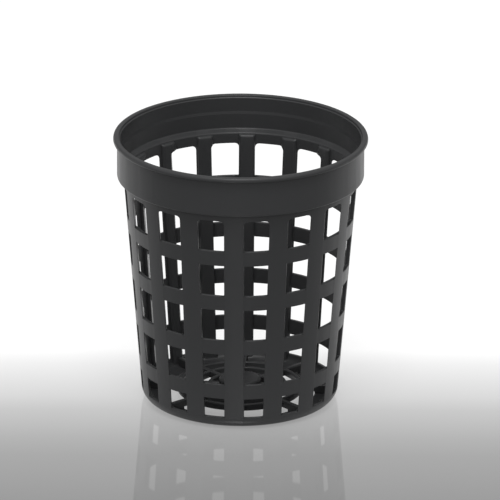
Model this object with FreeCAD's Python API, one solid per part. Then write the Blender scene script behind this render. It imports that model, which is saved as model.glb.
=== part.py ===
"""Hydroponic net pot: a tapered basket moulded in one piece, with a plain collar and a rolled lip.

Millimetres, +Z up. The origin is the middle of the foot, on the ground, and one rib points along -Y.
"""

import FreeCAD, Part
import math
import os

from FreeCAD import Vector

# Overall form
pot_height = 87.0            # ground to the crest of the lip
lip_diameter = 80.0          # widest circle of the pot
foot_diameter = 61.3         # where the tapered wall would meet the ground
foot_round = 4.3             # outer corner between wall and foot
foot_inner_round = 2.7       # inner corner between wall and foot
wall = 1.2                   # thickness of the tapered wall under the collar

# Lip and collar
lip_height = 1.65
lip_overhang = 1.2           # lip beyond the collar
lip_width = 2.7              # across the lip, from its inner to its outer side
lip_shoulder = 0.8           # eased outer edge of the lip's top
lip_inner_edge = 0.6         # eased inner edge of the lip's top
lip_drop = 1.25              # how far the inner side of the lip reaches down
collar_height = 13.1         # underside of the collar to the crest of the lip
collar_wall = 1.4
shoulder = 2.0               # collar beyond the tapered wall
ledge_thickness = 1.2        # from the underside of the collar to the ledge inside
ledge_rise = 0.8             # the ledge slopes up towards the collar

# Windows between upright ribs and level hoops
rib_count = 16
web_width = 6.17             # upright strip of wall between two windows
rib_width = 5.2              # a rib's width where it joins the wall
rib_depth = 1.0              # how far a rib stands proud inside the wall
rib_draft = 0.8              # each side of a rib leans in by this much
rib_top_edge = 0.8           # eased upper end of a rib, level with the ledge
row_count = 5
low_sill = 4.1               # ground to the lowest row of windows
low_window_height = 6.25
hoop_height = 5.0
top_band = 2.55              # plain wall between the top row and the collar
head_rise = 0.4              # a window's head is this much higher inside than outside

# Raised grid in the floor
flange_width = 6.95          # flat ring of the foot, out to the line of the wall
flange_thickness = 1.4
grid_top = 4.2               # ground to the top of the bars
bar_height = 2.1
bar_width = 1.3
ring_count = 3
spoke_count = 8
spoke_width = 1.7
hub_radius = 6.6
hub_gap = 2.2                # from the hub to the first ring
hub_top = 6.0                # ground to the top of the gate well
hub_wall = 1.2

# Sizes that follow from these
lip_radius = lip_diameter / 2
foot_radius = foot_diameter / 2
collar_radius = lip_radius - lip_overhang
body_top_radius = collar_radius - shoulder
collar_bottom = pot_height - collar_height
lip_bottom = pot_height - lip_height
collar_inner_radius = collar_radius - collar_wall
ledge_z = collar_bottom + ledge_thickness
flange_inner_radius = foot_radius - flange_width
grid_bottom = grid_top - bar_height
rounding_radius = foot_radius - foot_round   # where the foot starts to turn up into the wall
first_ring_radius = hub_radius + hub_gap + bar_width / 2
ring_pitch = (flange_inner_radius - first_ring_radius) / ring_count
rib_angle = 360.0 / rib_count
low_head = low_sill + low_window_height
row_pitch = (collar_bottom - top_band - low_head) / (row_count - 1)


def outer_radius(z):
    """Outer radius of the tapered wall at height z."""
    return foot_radius + (body_top_radius - foot_radius) * z / collar_bottom


def inner_radius(z):
    """Inner radius of the tapered wall at height z: the wall thins towards the foot."""
    return outer_radius(z) * (1 - wall / body_top_radius)


def eased(points, index, rounding, facets):
    """The points of an outline where one corner turns through an arc, in equal facets."""
    corner = points[index]
    back = (points[index - 1] - corner).normalize()
    ahead = (points[(index + 1) % len(points)] - corner).normalize()
    half = back.getAngle(ahead) / 2
    centre = corner + (back + ahead).normalize() * (rounding / math.sin(half))
    first = corner + back * (rounding / math.tan(half)) - centre
    last = corner + ahead * (rounding / math.tan(half)) - centre
    sweep = math.pi - 2 * half
    arc = []
    for i in range(facets + 1):
        turn = sweep * i / facets
        arc.append(centre + (first * math.sin(sweep - turn) + last * math.sin(turn)) / math.sin(sweep))
    return arc


def outline(corners):
    """Face through corners (x, y, z), or (x, y, z, rounding, facets) where a corner is eased."""
    points = [Vector(*corner[:3]) for corner in corners]
    path = []
    for i, corner in enumerate(corners):
        path += eased(points, i, *corner[3:]) if len(corner) > 3 else [points[i]]
    return Part.Face(Part.makePolygon(path + path[:1]))


def turned(section):
    """Solid of revolution from (radius, height), or (radius, height, rounding, facets)."""
    face = outline([(corner[0], 0, *corner[1:]) for corner in section])
    return face.revolve(Vector(0, 0, 0), Vector(0, 0, 1), 360)


def around(shape, count, start=0.0):
    """Copies of a shape, evenly spaced about the axis of the pot."""
    copies = []
    for i in range(count):
        copy = shape.copy()
        copy.rotate(Vector(0, 0, 0), Vector(0, 0, 1), start + i * 360.0 / count)
        copies.append(copy)
    return copies


def shell():
    """The turned form: foot, tapered wall, collar with its ledge, and lip."""
    lip_inner_radius = lip_radius - lip_width
    return turned([
        (flange_inner_radius, 0),
        (foot_radius, 0, foot_round, 2),
        (body_top_radius, collar_bottom),
        (collar_radius, collar_bottom),
        (collar_radius, lip_bottom),
        (lip_radius, lip_bottom),
        (lip_radius, pot_height, lip_shoulder, 1),
        (lip_inner_radius, pot_height, lip_inner_edge, 1),
        (collar_inner_radius, pot_height - lip_drop),
        (collar_inner_radius, ledge_z + ledge_rise),
        (inner_radius(ledge_z), ledge_z),
        (inner_radius(flange_thickness), flange_thickness, foot_inner_round, 1),
        (flange_inner_radius, flange_thickness),
    ])


def block(base, lid):
    """Solid between two flat faces that have the same number of corners, with flat sides."""
    faces = [Part.Face(Part.makePolygon(end + end[:1])) for end in (base, lid)]
    for i in range(len(base)):
        corners = [base[i - 1], base[i], lid[i], lid[i - 1], base[i - 1]]
        faces.append(Part.Face(Part.makePolygon(corners)))
    solid = Part.makeSolid(Part.makeShell(faces))
    if solid.Volume < 0:
        solid.reverse()
    return solid


def window(sill, head):
    """Cutter for one window: its sides follow the taper of the wall, and its head slopes."""
    half_pitch = math.radians(rib_angle / 2)
    middle = outer_radius((sill + head) / 2)
    near = inner_radius(sill) - rib_depth - wall
    far = outer_radius(head) + wall
    near_head = head + head_rise * (outer_radius(head) - near) / wall
    far_head = head + head_rise * (outer_radius(head) - far) / wall

    def corner(side, y, z):
        half_web = web_width / 2 * outer_radius(z) / middle
        return Vector(side * (y * math.tan(half_pitch) - half_web / math.cos(half_pitch)), y, z)

    places = [(near, sill), (far, sill), (far, far_head), (near, near_head)]
    left = [corner(-1, y, z) for y, z in places]
    right = [corner(1, y, z) for y, z in places]
    return block(left, right)


def windows():
    """Every window of the basket, row by row, between the ribs."""
    cutters = []
    for row in range(row_count):
        head = low_head + row * row_pitch
        sill = low_sill if row == 0 else head - row_pitch + hoop_height
        cutters += around(window(sill, head), rib_count, rib_angle / 2)
    return cutters


def rib():
    """One upright rib, proud of the inside of the wall, with drafted sides and an eased top."""
    bottom = flange_thickness / 2
    top = ledge_z
    half = rib_width / 2
    foot = inner_radius(bottom)
    face = foot - rib_depth
    back = foot + wall / 2
    section = outline([
        (-half, back, bottom), (-half, foot, bottom), (-half + rib_draft, face, bottom),
        (half - rib_draft, face, bottom), (half, foot, bottom), (half, back, bottom),
    ])
    bar = section.extrude(Vector(0, inner_radius(top) - foot, top - bottom))
    side = outline([
        (-half, inner_radius(top) - rib_depth, top, rib_top_edge, 1),
        (-half, inner_radius(top) + wall / 4, top),
        (-half, inner_radius(foot_round) + wall / 2, foot_round),
        (-half, rounding_radius + wall, bottom),
        (-half, rounding_radius - rib_depth, bottom),
    ])
    return bar.common(side.extrude(Vector(rib_width, 0, 0)))


def ring(radius):
    """One round bar of the floor grid."""
    return turned([
        (radius - bar_width / 2, grid_bottom),
        (radius + bar_width / 2, grid_bottom),
        (radius + bar_width / 2, grid_top),
        (radius - bar_width / 2, grid_top),
    ])


def spoke():
    """One straight bar of the floor grid, from the gate well over the flange and into a rib."""
    start = hub_radius - hub_wall / 2
    half = spoke_width / 2
    side = outline([
        (-half, start, grid_bottom),
        (-half, flange_inner_radius + bar_width / 2, grid_bottom),
        (-half, flange_inner_radius + bar_width / 2, flange_thickness / 2),
        (-half, rounding_radius + wall / 2, flange_thickness / 2),
        (-half, inner_radius(grid_top) + wall / 3, grid_top),
        (-half, start, grid_top),
    ])
    return side.extrude(Vector(spoke_width, 0, 0))


def gate_well():
    """The raised hub: an upturned cup over the point where the plastic was let into the mould."""
    under = hub_top - hub_wall
    skirt = hub_radius - hub_wall
    return turned([
        (0, under),
        (skirt, under),
        (skirt, grid_bottom),
        (hub_radius, grid_bottom),
        (hub_radius, hub_top),
        (0, hub_top),
    ])


def net_pot():
    """The whole moulding as one solid."""
    grid = [ring(first_ring_radius + i * ring_pitch) for i in range(ring_count)]
    grid += around(spoke(), spoke_count)
    grid.append(gate_well())
    basket = shell().fuse(around(rib(), rib_count))
    basket = basket.cut(windows())
    basket = basket.fuse(grid)
    return basket.removeSplitter()


os.makedirs("parts", exist_ok=True)
pot = net_pot()
pot = pot.Solids[0] if len(pot.Solids) == 1 else pot
print("solids", len(pot.Solids), "volume", round(pot.Volume, 1), "valid", pot.isValid())
pot.exportStep("parts/net_pot.step")
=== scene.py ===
import bpy
import bmesh
from math import acos, asin, cos, pi, radians, sin, sqrt
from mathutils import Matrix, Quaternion, Vector


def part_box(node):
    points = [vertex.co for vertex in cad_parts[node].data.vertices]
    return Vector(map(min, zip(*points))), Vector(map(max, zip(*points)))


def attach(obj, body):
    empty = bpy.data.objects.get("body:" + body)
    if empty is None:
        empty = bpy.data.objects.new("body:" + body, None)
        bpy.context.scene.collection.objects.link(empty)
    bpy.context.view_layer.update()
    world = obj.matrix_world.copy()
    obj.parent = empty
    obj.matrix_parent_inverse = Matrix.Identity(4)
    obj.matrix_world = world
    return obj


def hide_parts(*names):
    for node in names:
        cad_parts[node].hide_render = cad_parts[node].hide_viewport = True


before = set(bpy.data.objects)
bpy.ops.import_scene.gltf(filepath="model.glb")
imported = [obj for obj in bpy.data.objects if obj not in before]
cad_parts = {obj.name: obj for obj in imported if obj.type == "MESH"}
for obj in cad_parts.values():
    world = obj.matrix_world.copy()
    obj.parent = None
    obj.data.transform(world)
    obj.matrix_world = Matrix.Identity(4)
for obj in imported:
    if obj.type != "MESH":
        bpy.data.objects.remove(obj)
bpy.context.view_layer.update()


# ---- Underside of the floor ------------------------------------------------------------------
# The pot is one piece of black polypropylene, shot in a steel mould. Its floor is a flat ring with
# a raised grid of round bars and straight spokes inside it, and an upturned cup in the middle,
# where the plastic enters. Its skin is laid out here as rings of points, from this cup outwards.

mm = 0.001
foot_radius = 30.65 * mm
flange_inner = foot_radius - 6.95 * mm
flange_top = 1.4 * mm
grid_top = 4.2 * mm
grid_under = 2.1 * mm
hub_radius = 6.6 * mm
hub_top = 6.0 * mm
hub_wall = 1.2 * mm
bar_width = 1.3 * mm
spoke_width = 1.7 * mm
grid_rings = 3
first_ring = hub_radius + 2.2 * mm + bar_width / 2
ring_pitch = (flange_inner - first_ring) / grid_rings
ring_radii = [first_ring + ring_pitch * i for i in range(grid_rings)]

rib_count = 16
rib_pitch = 2 * pi / rib_count
lines_beside = 10            # upright lines of points on each side of a rib's middle line
lines_between = 4            # upright lines across a window
lines_per_rib = 2 * lines_beside + 1 + lines_between
line_total = rib_count * lines_per_rib
strip_lag = radians(1.7)     # strips on the left stand up to this far behind an even pitch
spoke_side = 4               # the line beside the middle that runs along the side of a spoke
spoke_foot = spoke_side + 1  # the line just off the spoke
hub_middle = 0.3 * hub_radius

rings = []                   # every ring of the skin, in order
landmark = {}                # the number of each ring that a window or a floor gap ends on


def add_ring(angles, radius, height, name=None):
    """Adds one ring. radius and height are one value, or one for each upright line."""
    radii = radius if isinstance(radius, list) else [radius] * line_total
    heights = height if isinstance(height, list) else [height] * line_total
    rings.append([Vector((r * cos(a), r * sin(a), z)) for a, r, z in zip(angles, radii, heights)])
    if name:
        landmark[name] = len(rings) - 1


def spread(first, last, count):
    """count angles between two angles, evenly spaced, without the ends."""
    return [first + (last - first) * i / (count + 1) for i in range(1, count + 1)]


def line_number(rib, beside):
    """Which upright line it is, counted round the pot, from a rib and a place beside its middle."""
    return (rib * lines_per_rib + lines_beside + beside) % line_total


def rib_middle(rib):
    """Angle of the middle line of a rib. The first rib is at the front."""
    even = rib * rib_pitch - pi / 2
    return even + strip_lag * min(cos(even), 0)


def floor_lines(widths, radius):
    """Angle of every upright line on the floor: those on a spoke keep their distance from its
    middle, and the rest share out the gap to the next spoke."""
    beside = [asin(width / radius) for width in widths]
    angles = []
    for spoke in range(rib_count // 2):
        middle = rib_middle(2 * spoke)
        angles += [middle - a for a in reversed(beside[1:])] + [middle + a for a in beside]
        rest = 2 * lines_per_rib - (2 * spoke_foot + 1)
        angles += spread(middle + beside[-1], rib_middle(2 * spoke + 2) - beside[-1], rest)
    turn = lines_beside - spoke_foot
    return angles[-turn:] + angles[:-turn]


def add_floor_ring(widths, radius, height, name=None):
    """Adds one ring of the floor. widths are the lines' distances from a spoke's middle."""
    add_ring(floor_lines(widths, max(radius, hub_radius)), radius, height, name)


def on_spokes(spoke_heights, rest):
    """A height for each upright line: the given ones from the middle of each spoke, then rest."""
    heights = [rest] * line_total
    for rib in range(0, rib_count, 2):
        for i, z in enumerate(spoke_heights):
            heights[line_number(rib, i)] = max(z, rest)
            heights[line_number(rib, -i)] = max(z, rest)
    return heights


underside_lines = [spoke_width / 2 * share for share in (0, 0.25, 0.5, 0.75, 1, 1.08)]
add_floor_ring(underside_lines, hub_middle, hub_top - hub_wall)
add_floor_ring(underside_lines, hub_radius - hub_wall, hub_top - hub_wall)
add_floor_ring(underside_lines, hub_radius - hub_wall, grid_under)
add_floor_ring(underside_lines, hub_radius, grid_under, "hub under")
for i, radius in enumerate(ring_radii):
    add_floor_ring(underside_lines, radius - bar_width / 2, grid_under, f"ring {i} inner under")
    add_floor_ring(underside_lines, radius + bar_width / 2, grid_under, f"ring {i} outer under")
flange_edge = on_spokes([grid_under] * spoke_foot, flange_top / 2)
add_floor_ring(underside_lines, flange_inner, flange_edge, "flange under")
add_floor_ring(underside_lines, flange_inner, 0)


# ---- Foot and outside of the wall ------------------------------------------------------------
# The wall tapers from the collar down to a softly rounded foot. Level hoops and upright ribs
# lie flush on the outside, with five rows of windows between them, whose heads slope inwards.
# The strips are a little slimmer at the back, and the front one has a fine moulding seam.

foot_corner, lip_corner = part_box("net_pot")
lip_radius = (lip_corner.x - foot_corner.x) / 2
pot_height = lip_corner.z - foot_corner.z
collar_bottom = pot_height - 13.1 * mm
wall_top_radius = lip_radius - 3.2 * mm
wall = 1.2 * mm
foot_round = 4.3 * mm
foot_steps = 8
wall_lean = 4.8              # degrees from upright, where the foot's round meets the wall
web_width = 6.17 * mm
back_web_width = 5.1 * mm
web_land = 0.3 * mm          # from the last line on a strip to its edge
back_ribs = range(rib_count // 4 + 1, 3 * rib_count // 4)
row_count = 5
low_sill = 4.1 * mm
low_head = low_sill + 6.25 * mm
hoop_height = 5.0 * mm
top_band = 2.55 * mm
row_pitch = (collar_bottom - top_band - low_head) / (row_count - 1)
head_rise = 0.4 * mm
top_corner = 1.3 * mm        # the top row has rounded upper corners
corner_steps = 4
seam_height = 0.06 * mm
heads = [low_head + row * row_pitch for row in range(row_count)]
sills = [low_sill] + [head + hoop_height for head in heads[:-1]]


def outer_radius(z):
    """Radius of the outside of the tapered wall."""
    return foot_radius + (wall_top_radius - foot_radius) * z / collar_bottom


def inner_radius(z):
    """Radius of the inside of the wall, which thins towards the foot."""
    return outer_radius(z) * (1 - wall / wall_top_radius)


def web_half(rib):
    """Half the width of the upright strip of wall that carries a rib."""
    return (back_web_width if rib in back_ribs else web_width) / 2


def outside_lines(radius, closed=0):
    """Angle of every upright line outside, where the strips keep their width. The windows'
    corners have closed in by closed."""
    angles = []
    for rib in range(rib_count):
        middle = rib_middle(rib)
        last = asin((web_half(rib) - web_land) / radius)
        edge = asin(web_half(rib) / radius) + closed / radius
        next_edge = asin(web_half((rib + 1) % rib_count) / radius) + closed / radius
        beside = [last * i / (lines_beside - 1) for i in range(lines_beside)] + [edge]
        angles += [middle - a for a in reversed(beside[1:])] + [middle + a for a in beside]
        angles += spread(middle + edge, rib_middle(rib + 1) - next_edge, lines_between)
    return angles


def quarter(centre_r, centre_z, size, start, end, steps):
    """Points (radius, height) round part of a circle, for a rounded edge of the section."""
    turn = (end - start) / steps
    return [(centre_r + size * cos(radians(start + turn * i)),
             centre_z + size * sin(radians(start + turn * i))) for i in range(steps + 1)]


def window_steps(row, rise):
    """Heights of the rings that a window spans, with how far its corner has closed in at each."""
    steps = [(sills[row], 0)]
    if row == row_count - 1:
        for i in range(corner_steps):
            turn = radians(90 * i / corner_steps)
            z = heads[row] + rise - top_corner * (1 - sin(turn))
            steps.append((z, top_corner * (1 - cos(turn))))
        steps.append((heads[row] + rise, top_corner))
    else:
        steps.append((heads[row] + rise, 0))
    return steps


def with_seam(radius):
    """The outside radius at each upright line, with the seam on the front strip."""
    radii = [radius] * line_total
    radii[line_number(0, lines_beside - 1)] += seam_height
    return radii


slope = (wall_top_radius - foot_radius) / collar_bottom
foot_centre = outer_radius(foot_round) - foot_round * sqrt(1 + slope * slope)
for r, z in quarter(foot_centre, foot_round, foot_round, -90, -wall_lean, foot_steps):
    add_ring(outside_lines(r), with_seam(r), z)
for row in range(row_count):
    for i, (z, closed) in enumerate(window_steps(row, 0)):
        r = outer_radius(z)
        add_ring(outside_lines(r, closed), with_seam(r), z, f"window {row} outer {i}")


# ---- Collar and rolled lip -------------------------------------------------------------------
# A plain upright collar stands out beyond the wall and carries a rolled lip, by which the pot
# hangs in its hole. Faint sink rings run round the collar, and inside it has a fine step and a
# narrow sloping ledge above the ribs.

collar_radius = lip_radius - 1.2 * mm
collar_inner = collar_radius - 1.0 * mm
lower_inner = collar_inner - 0.22 * mm
collar_edge = 0.5 * mm
lip_bottom = pot_height - 1.4 * mm
lip_under_edge = 0.3 * mm
lip_shoulder = 0.85 * mm
lip_inner_edge = 0.4 * mm
lip_inner = lip_radius - 1.9 * mm
lip_step_top = pot_height - 0.75 * mm       # inside, the lip ends on a small step
lip_step_foot = pot_height - 1.0 * mm
lip_step_ease = 0.12 * mm
sink_depth = 0.03 * mm
sink_heights = [pot_height - depth * mm for depth in (10.5, 5.2, 2.3)]
sink_reach = 0.45 * mm
step_z = pot_height - 5.4 * mm
step_height = 0.8 * mm
step_ease = 0.15 * mm        # how far above and below the step its edges are eased
step_turn = 0.03 * mm
ledge_z = collar_bottom + 1.2 * mm
ledge_rise = 0.8 * mm
ledge_edge = 0.3 * mm
ledge_edge_rise = 0.12 * mm
ledge_edge_turn = 0.1 * mm
ledge_fillet = ((0, 0.35), (0.06, 0.12), (0.25, -0.06))     # mm inwards and up from the corner

section = [(wall_top_radius, collar_bottom)]
section += quarter(collar_radius - collar_edge, collar_bottom + collar_edge, collar_edge, -90, 0, 3)
for z in sink_heights:
    section += [(collar_radius, z - sink_reach), (collar_radius - sink_depth, z)]
    section += [(collar_radius, z + sink_reach)]
section += [(collar_radius, lip_bottom)]
section += quarter(lip_radius - lip_under_edge, lip_bottom + lip_under_edge,
                   lip_under_edge, -90, 0, 3)
section += quarter(lip_radius - lip_shoulder, pot_height - lip_shoulder,
                   lip_shoulder, 0, 90, 6)
section += quarter(lip_inner + lip_inner_edge, pot_height - lip_inner_edge,
                   lip_inner_edge, 90, 180, 4)
section += [(lip_inner, lip_step_top), (lip_inner - lip_step_ease, lip_step_foot + lip_step_ease)]
section += [(collar_inner, lip_step_foot), (collar_inner, step_z + step_ease)]
section += [(collar_inner - step_turn, step_z), (lower_inner + step_turn, step_z - step_height)]
section += [(lower_inner, step_z - step_height - step_ease)]
section += [(lower_inner - x * mm, ledge_z + ledge_rise + z * mm) for x, z in ledge_fillet]
ledge_inner = inner_radius(ledge_z)
section += [(ledge_inner + ledge_edge, ledge_z + ledge_edge_rise)]
section += [(ledge_inner + ledge_edge_turn, ledge_z)]
section += [(inner_radius(ledge_z - ledge_edge), ledge_z - ledge_edge)]
for r, z in section:
    add_ring(outside_lines(wall_top_radius), r, z)


# ---- Inside of the wall with its ribs --------------------------------------------------------
# On the inside each upright strip carries a proud rounded rib, which stiffens the basket. The
# steel that makes the windows slides out towards the front and the back, so the side faces of
# the windows run that way too, and clip the ribs beside them.

rib_depth = 1.0 * mm
side_rib_depth = 0.3 * mm    # the two ribs at the sides, where the slides part, are lower
rib_half = 2.62 * mm         # half a rib's width at its root
rib_flat = 1.7 * mm          # half the width of its flat face
rib_end_round = 0.8 * mm
rib_top = ledge_z - 0.4 * mm
least_gap = 0.025            # radians of window left where a slide only grazes the wall
side_ribs = (rib_count // 4, 3 * rib_count // 4)
# Where the upright lines stand on a rib, from its middle to its edge, close at the rounding.
rib_shares = [0, 0.13, 0.27, 0.36, 0.44, 0.52, 0.65, 0.82, 0.955, 1]
cut_steps = 160              # fineness of the search for where a slide clips a rib
cut_last = 2 * cut_steps - 8
rib_top_gap = 0.02 * mm
rib_end_gap = 0.1 * mm       # from the top of a spoke to the ring of points above it


def rib_proud(rib, across):
    """How proud a rib stands at a distance across from its middle."""
    beyond = max(abs(across) - rib_flat, 0) / (rib_half - rib_flat)
    depth = side_rib_depth if rib in side_ribs else rib_depth
    return depth * sqrt(max(1 - beyond * beyond, 0))


def side_face(rib, side, z, closed, radius):
    """Angle, at a radius, of the side face of the window on one side of a rib."""
    r = outer_radius(z)
    edge = rib_middle(rib) + side * (asin(web_half(rib) / r) + closed / r)
    if rib in side_ribs:
        return edge
    turn = acos(max(-1, min(1, r * cos(edge) / radius)))
    angle = turn if rib in back_ribs else -turn if rib < side_ribs[0] else 2 * pi - turn
    clear = asin(web_half(side_ribs[0]) / r) + closed / r + least_gap
    for side_rib in side_ribs:
        if rib == side_rib - 1:
            angle = min(angle, rib_middle(side_rib) - clear)
        if rib == side_rib + 1:
            angle = max(angle, rib_middle(side_rib) + clear)
    return angle


def clipped(rib, side, z, closed):
    """How far across a rib reaches on one side, once the slide has clipped it."""
    middle = rib_middle(rib)
    reach = side * rib_half
    for i in range(cut_last):
        across = side * rib_half * (1 - i / cut_steps)
        r = inner_radius(z) - rib_proud(rib, across)
        if side * (r * sin(side_face(rib, side, z, closed, r) - middle) - across) < 0:
            reach = side * rib_half * (1 - (i + 1) / cut_steps)
    return reach


def inside_lines(z, share=1, closed=None):
    """Angle and radius of every upright line inside the wall, with ribs of a share of their
    depth. closed is None where there is no window, and the ribs are whole."""
    wall_r = inner_radius(z)
    angles, radii, edges = [], [], []
    for rib in range(rib_count):
        middle = rib_middle(rib)
        low, high = -rib_half, rib_half
        around_rib = [middle + side * asin(web_half(rib) / wall_r) for side in (-1, 1)]
        if closed is not None:
            low, high = [clipped(rib, side, z, closed) for side in (-1, 1)]
            around_rib = [side_face(rib, side, z, closed, wall_r) for side in (-1, 1)]
        edges.append(around_rib)
        for side in (-1, 1):
            shares = reversed(rib_shares[1:]) if side < 0 else rib_shares
            if side < 0:
                angles.append(around_rib[0])
                radii.append(wall_r)
            for part in shares:
                across = low + (high - low) * (1 + side * part) / 2
                r = wall_r - share * rib_proud(rib, across)
                angles.append(middle + asin(across / r))
                radii.append(r)
        angles.append(around_rib[1])
        radii.append(wall_r)
        angles += [None] * lines_between
        radii += [wall_r] * lines_between
    for rib in range(rib_count):
        after = edges[(rib + 1) % rib_count][0] + (2 * pi if rib == rib_count - 1 else 0)
        first = line_number(rib, lines_beside) + 1
        angles[first:first + lines_between] = spread(edges[rib][1], after, lines_between)
    return angles, radii


def add_inside_ring(z, share=1, closed=None, name=None, heights=None):
    """Adds one ring inside the wall. heights is for a ring that isn't level."""
    angles, radii = inside_lines(z, share, closed)
    add_ring(angles, radii, heights or z, name)


add_inside_ring(rib_top + rib_top_gap, 0)
for turn in (0, 30, 60, 90):
    depth = 1 - rib_end_round / rib_depth * (1 - sin(radians(turn)))
    add_inside_ring(rib_top - rib_end_round * (1 - cos(radians(turn))), depth)
rib_end = on_spokes([grid_top + rib_end_gap] * spoke_foot, low_sill)
for row in reversed(range(row_count)):
    steps = list(enumerate(window_steps(row, head_rise)))
    for i, (z, closed) in reversed(steps):
        sill_heights = rib_end if row == 0 and i == 0 else None
        add_inside_ring(z, 1, closed, f"window {row} inner {i}", sill_heights)


# ---- Top of the floor ------------------------------------------------------------------------
# The foot is rounded inside as well. The bars and spokes of the grid have round backs, so that
# water runs off them, and the spokes run over the flat ring of the foot into every second rib.

inner_round = 2.7 * mm
inner_round_steps = 6
bar_round = 0.45 * mm
bar_turns = [radians(turn) for turn in (30, 60, 90)]
bar_back = [(-cos(turn), 1 - sin(turn)) for turn in bar_turns]
half_spoke = spoke_width / 2
spoke_back = [(0, 0), (half_spoke - bar_round, 0)]
spoke_back += [(half_spoke - bar_round * (1 - sin(turn)), bar_round * (1 - cos(turn)))
               for turn in bar_turns]
beside_spoke = 0.07 * mm     # from a spoke to the next line of points
top_lines = [x for x, drop in spoke_back] + [half_spoke + beside_spoke]
spoke_heights = [grid_top - drop for x, drop in spoke_back]

inner_slope = slope * (1 - wall / wall_top_radius)
round_z = flange_top + inner_round
round_centre = inner_radius(round_z) - inner_round * sqrt(1 + inner_slope * inner_slope)
inner_lean = 4.6             # degrees from upright, where the inner round meets the wall
rib_face = inner_radius(grid_top) - rib_depth
inner_arc = quarter(round_centre, round_z, inner_round, -inner_lean, -90, inner_round_steps)
for i, (r, z) in enumerate(inner_arc):
    angles, radii = inside_lines(z)
    radii = [min(r, radius) for radius in radii]
    for rib in range(0, rib_count, 2):
        middle = rib_middle(rib)
        for beside, across in enumerate(top_lines):
            for side in (-1, 1):
                line = line_number(rib, side * beside)
                if beside < spoke_foot:
                    radii[line] = rib_face + (round_centre - rib_face) * i / inner_round_steps
                angles[line] = middle + side * asin(across / radii[line])
    add_ring(angles, radii, on_spokes(spoke_heights, z))
add_floor_ring(top_lines, flange_inner, on_spokes(spoke_heights, flange_top), "flange top")
for i, radius in reversed(list(enumerate(ring_radii))):
    side_z = on_spokes(spoke_heights, grid_top - bar_round)
    add_floor_ring(top_lines, radius + bar_width / 2, side_z, f"ring {i} outer top")
    for across, drop in bar_back:
        r = radius + bar_width / 2 - bar_round * (1 + across)
        add_floor_ring(top_lines, r, on_spokes(spoke_heights, grid_top - bar_round * drop))
    for across, drop in reversed(bar_back):
        r = radius - bar_width / 2 + bar_round * (1 + across)
        add_floor_ring(top_lines, r, on_spokes(spoke_heights, grid_top - bar_round * drop))
    add_floor_ring(top_lines, radius - bar_width / 2, side_z, f"ring {i} inner top")
hub_round = 0.9 * mm
add_floor_ring(top_lines, hub_radius, on_spokes(spoke_heights, grid_top - bar_round), "hub top")
for r, z in quarter(hub_radius - hub_round, hub_top - hub_round, hub_round, 0, 90, 5):
    add_floor_ring(top_lines, r, z)
add_floor_ring(top_lines, hub_middle, hub_top)


# ---- The moulding ----------------------------------------------------------------------------
# The rings are joined into one closed skin. Windows and floor gaps are left open through the
# wall, and the windows' edges get the small radius that a polished mould leaves.

points = bmesh.new()
vertex = [[points.verts.new(p) for p in ring] for ring in rings]
# Each opening is (first and last ring outside, the same inside, first line, lines, eased).
openings = []
for row in range(row_count):
    last = len(window_steps(row, 0)) - 1
    for rib in range(rib_count):
        first_line = line_number(rib, lines_beside)
        openings.append((landmark[f"window {row} outer 0"], landmark[f"window {row} outer {last}"],
                         landmark[f"window {row} inner 0"], landmark[f"window {row} inner {last}"],
                         first_line, lines_between + 1, True))
ring_edges = [f"ring {i} {side}" for i in range(grid_rings) for side in ("inner", "outer")]
gap_edges = ["hub"] + ring_edges + ["flange"]
for inner_edge, outer_edge in zip(gap_edges[0::2], gap_edges[1::2]):
    for rib in range(0, rib_count, 2):
        first_line = line_number(rib, spoke_side)
        width = 2 * lines_per_rib - 2 * spoke_side
        openings.append((landmark[inner_edge + " under"], landmark[outer_edge + " under"],
                         landmark[inner_edge + " top"], landmark[outer_edge + " top"],
                         first_line, width, False))

open_cells = set()
for out_first, out_last, in_first, in_last, first_line, width, eased in openings:
    for low, high in ((out_first, out_last), (in_last, in_first)):
        for ring in range(low, high):
            for i in range(width):
                open_cells.add((ring, (first_line + i) % line_total))
for ring in range(len(rings) - 1):
    for line in range(line_total):
        if (ring, line) not in open_cells:
            after = (line + 1) % line_total
            points.faces.new((vertex[ring][line], vertex[ring][after],
                              vertex[ring + 1][after], vertex[ring + 1][line]))
for ring, height in ((0, hub_top - hub_wall), (len(rings) - 1, hub_top)):
    middle = points.verts.new((0, 0, height))
    for line in range(line_total):
        points.faces.new((middle, vertex[ring][line], vertex[ring][(line + 1) % line_total]))

soft_edges = set()
grazed = set()               # lines inside where a side face meets the wall at a slant
for side_rib in side_ribs:
    for rib in (side_rib - 1, side_rib + 1):
        grazed |= {line_number(rib, side * lines_beside) for side in (-1, 1)}
for out_first, out_last, in_first, in_last, first_line, width, eased in openings:
    outside = range(out_first, out_last + 1)
    inside = range(in_first, in_last - 1, -1)
    lines = [(first_line + i) % line_total for i in range(width + 1)]
    rim = [(ring, inner, lines[0]) for ring, inner in zip(outside, inside)]
    rim += [(out_last, in_last, line) for line in lines[1:]]
    rim += [(ring, inner, lines[-1]) for ring, inner in reversed(list(zip(outside, inside))[:-1])]
    rim += [(out_first, in_first, line) for line in reversed(lines[1:-1])]
    for (a, b, line), (c, d, other) in zip(rim, rim[1:] + rim[:1]):
        points.faces.new((vertex[a][line], vertex[c][other], vertex[d][other], vertex[b][line]))
        if eased:
            soft_edges.add((vertex[a][line], vertex[c][other]))
            if line == other and line in grazed:
                continue
            soft_edges.add((vertex[b][line], vertex[d][other]))

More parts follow.
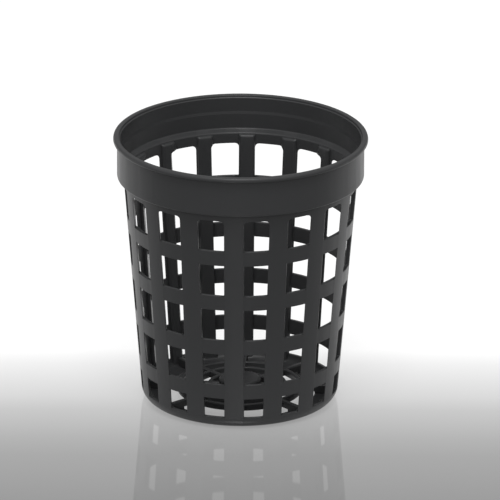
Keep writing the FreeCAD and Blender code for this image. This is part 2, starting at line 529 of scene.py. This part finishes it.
bmesh.ops.recalc_face_normals(points, faces=points.faces)
for face in points.faces:
    face.smooth = True
weight = points.edges.layers.float.new("bevel_weight_edge")
for a, b in soft_edges:
    points.edges.get((a, b))[weight] = 1
sharp_turn = radians(38)
for edge in points.edges:
    if edge.calc_face_angle(0) > sharp_turn and edge[weight] == 0:
        edge.smooth = False
moulding_mesh = bpy.data.meshes.new("moulding")
points.to_mesh(moulding_mesh)
points.free()
moulding = bpy.data.objects.new("moulding", moulding_mesh)
bpy.context.scene.collection.objects.link(moulding)

edge_round = moulding.modifiers.new("edge round", "BEVEL")
edge_round.limit_method = "WEIGHT"
edge_round.width = 0.2 * mm
edge_round.segments = 2
edge_round.use_clamp_overlap = False
flat_faces = moulding.modifiers.new("flat faces", "WEIGHTED_NORMAL")
flat_faces.keep_sharp = True

# Black polypropylene with a satin face: nearly black, with a very fine grain from the mould
# steel, soft flow marks along the ribs, and a little unevenness in its gloss.
plastic = bpy.data.materials.new("black polypropylene")
plastic.use_nodes = True
nodes = plastic.node_tree.nodes
links = plastic.node_tree.links
shader = nodes["Principled BSDF"]
shader.inputs["Base Color"].default_value = (0.0285, 0.029, 0.03, 1)
shader.inputs["IOR"].default_value = 1.49
shader.inputs["Specular IOR Level"].default_value = 0.24
place = nodes.new("ShaderNodeTexCoord")
grain = nodes.new("ShaderNodeTexNoise")
grain.inputs["Scale"].default_value = 4200
grain.inputs["Detail"].default_value = 3
flow = nodes.new("ShaderNodeTexNoise")
flow.inputs["Scale"].default_value = 260
flow.inputs["Detail"].default_value = 4
stretch = nodes.new("ShaderNodeMapping")
stretch.inputs["Scale"].default_value = (1, 1, 0.25)
gloss = nodes.new("ShaderNodeMapRange")
gloss.inputs["To Min"].default_value = 0.29
gloss.inputs["To Max"].default_value = 0.42
relief = nodes.new("ShaderNodeBump")
relief.inputs["Strength"].default_value = 0.25
relief.inputs["Distance"].default_value = 0.04 * mm
waves = nodes.new("ShaderNodeBump")
waves.inputs["Strength"].default_value = 0.35
waves.inputs["Distance"].default_value = 0.12 * mm
links.new(place.outputs["Object"], grain.inputs["Vector"])
links.new(place.outputs["Object"], stretch.inputs["Vector"])
links.new(stretch.outputs["Vector"], flow.inputs["Vector"])
links.new(flow.outputs["Fac"], gloss.inputs["Value"])
links.new(gloss.outputs["Result"], shader.inputs["Roughness"])
links.new(flow.outputs["Fac"], waves.inputs["Height"])
links.new(grain.outputs["Fac"], relief.inputs["Height"])
links.new(waves.outputs["Normal"], relief.inputs["Normal"])
links.new(relief.outputs["Normal"], shader.inputs["Normal"])
moulding.data.materials.append(plastic)
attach(moulding, "root")
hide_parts("net_pot")


# ---- Floor and surround ----------------------------------------------------------------------
# The pot stands on a pale polished sheet, which greys towards the front and mirrors it faintly.
# The sheet glows a little to the eye, so that it stays white however the studio is lit.

sheet_half = 3.0
sheet_z = -0.03 * mm         # just clear of the foot
sheet_mesh = bpy.data.meshes.new("sheet")
sheet_mesh.from_pydata([(-sheet_half, -sheet_half, sheet_z), (sheet_half, -sheet_half, sheet_z),
                        (sheet_half, sheet_half, sheet_z), (-sheet_half, sheet_half, sheet_z)],
                       [], [(0, 1, 2, 3)])
look_from = radians(3.18)    # the camera stands a little to the right of the front rib
sheet = bpy.data.objects.new("sheet", sheet_mesh)
sheet.rotation_euler.z = look_from
bpy.context.scene.collection.objects.link(sheet)

white_from = 41 * mm         # the sheet is white behind this line, and greys in front of it
grey_at = -95 * mm
front_grey = 0.395
glow_share = 0.72
polish_share = 0.38          # how much the grey part mirrors
paper = bpy.data.materials.new("graded sheet")
paper.use_nodes = True
nodes = paper.node_tree.nodes
links = paper.node_tree.links
nodes.remove(nodes["Principled BSDF"])
place = nodes.new("ShaderNodeTexCoord")
split = nodes.new("ShaderNodeSeparateXYZ")
depth = nodes.new("ShaderNodeMapRange")
depth.inputs["From Min"].default_value = white_from
depth.inputs["From Max"].default_value = grey_at
shade = nodes.new("ShaderNodeValToRGB")
shade.color_ramp.elements[0].color = (1, 1, 1, 1)
shade.color_ramp.elements[1].position = 1
shade.color_ramp.elements[1].color = (front_grey, front_grey, front_grey, 1)
for position, grey in ((0.045, 0.95), (0.1, 0.9), (0.2, 0.856), (0.31, 0.81), (0.43, 0.7),
                       (0.58, 0.563), (0.69, 0.49)):
    stop = shade.color_ramp.elements.new(position)
    stop.color = (grey, grey, grey, 1)
matt = nodes.new("ShaderNodeBsdfDiffuse")
glow = nodes.new("ShaderNodeEmission")
ray = nodes.new("ShaderNodeLightPath")
seen = nodes.new("ShaderNodeMath")
seen.operation = "MAXIMUM"
glowing = nodes.new("ShaderNodeMath")
glowing.operation = "MULTIPLY"
glowing.inputs[1].default_value = glow_share
lit = nodes.new("ShaderNodeMixShader")
polish = nodes.new("ShaderNodeBsdfGlossy")
polish.inputs["Roughness"].default_value = 0.03
mirror = nodes.new("ShaderNodeMapRange")
mirror.inputs["From Max"].default_value = 0.4     # the polish fades in from the white part
mirror.inputs["To Max"].default_value = polish_share
blend = nodes.new("ShaderNodeMixShader")
output = nodes["Material Output"]
links.new(place.outputs["Object"], split.inputs["Vector"])
links.new(split.outputs["Y"], depth.inputs["Value"])
links.new(depth.outputs["Result"], shade.inputs["Fac"])
links.new(depth.outputs["Result"], mirror.inputs["Value"])
for finish in (matt, glow, polish):
    links.new(shade.outputs["Color"], finish.inputs["Color"])
links.new(ray.outputs["Is Camera Ray"], seen.inputs[0])
links.new(ray.outputs["Is Glossy Ray"], seen.inputs[1])
links.new(seen.outputs["Value"], glowing.inputs[0])
links.new(glowing.outputs["Value"], lit.inputs["Fac"])
links.new(matt.outputs["BSDF"], lit.inputs[1])
links.new(glow.outputs["Emission"], lit.inputs[2])
links.new(mirror.outputs["Result"], blend.inputs["Fac"])
links.new(lit.outputs["Shader"], blend.inputs[1])
links.new(polish.outputs["BSDF"], blend.inputs[2])
links.new(blend.outputs["Shader"], output.inputs["Surface"])
sheet_mesh.materials.append(paper)

# Soft light all round, strongest from overhead and in front, weakest low down behind the pot.
room = bpy.data.worlds.new("soft studio")
room.use_nodes = True
nodes = room.node_tree.nodes
links = room.node_tree.links
sky = nodes.new("ShaderNodeTexCoord")
towards = nodes.new("ShaderNodeVectorMath")
towards.operation = "DOT_PRODUCT"
towards.inputs[1].default_value = (0, -0.55, 0.835)
strength = nodes.new("ShaderNodeMapRange")
strength.inputs["From Min"].default_value = -0.4
strength.inputs["From Max"].default_value = 0.9
strength.inputs["To Min"].default_value = 0.28
strength.inputs["To Max"].default_value = 1.15
links.new(sky.outputs["Generated"], towards.inputs[0])
links.new(towards.outputs["Value"], strength.inputs["Value"])
links.new(strength.outputs["Result"], nodes["Background"].inputs["Strength"])
nodes["Background"].inputs["Color"].default_value = (1, 1, 1, 1)
bpy.context.scene.world = room

# Two soft boxes: one overhead and a little forward, one in front. Each is (place, watts).
box_side = 0.4
for name, spot, watts in (("overhead box", Vector((0, -0.45, 1.3)), 7.5),
                          ("front box", Vector((0, -1.7, 1.1)), 4.0)):
    lamp = bpy.data.lights.new(name, "AREA")
    lamp.shape = "SQUARE"
    lamp.size = box_side
    lamp.energy = watts
    box = bpy.data.objects.new(name, lamp)
    box.location = spot
    box.rotation_euler = (spot - Vector((0, 0, pot_height / 2))).to_track_quat("Z", "Y").to_euler()
    bpy.context.scene.collection.objects.link(box)


# ---- Camera ----------------------------------------------------------------------------------
# A long lens stands a good way off, above the rim and a touch to the right of the front rib. It
# is slid a few millimetres off the pot's axis and rolled a little.

look_down = radians(20.3)
far_off = 3.98
roll = radians(0.23)
slide_right = 3.06 * mm
slide_up = 3.51 * mm
aim = Vector((0, 0, 45 * mm))
back = Vector((sin(look_from) * cos(look_down), -cos(look_from) * cos(look_down), sin(look_down)))
right = Vector((cos(look_from), sin(look_from), 0))
above = back.cross(right)
camera_data = bpy.data.cameras.new("camera")
camera_data.sensor_width = 36
camera_data.lens = 911
camera_data.clip_end = 50
camera = bpy.data.objects.new("camera", camera_data)
camera.location = aim + back * far_off + right * slide_right + above * slide_up
camera.rotation_euler = (back.to_track_quat("Z", "Y") @ Quaternion((0, 0, 1), roll)).to_euler()
bpy.context.scene.collection.objects.link(camera)
bpy.context.scene.camera = camera
bpy.context.scene.view_settings.view_transform = "Standard"
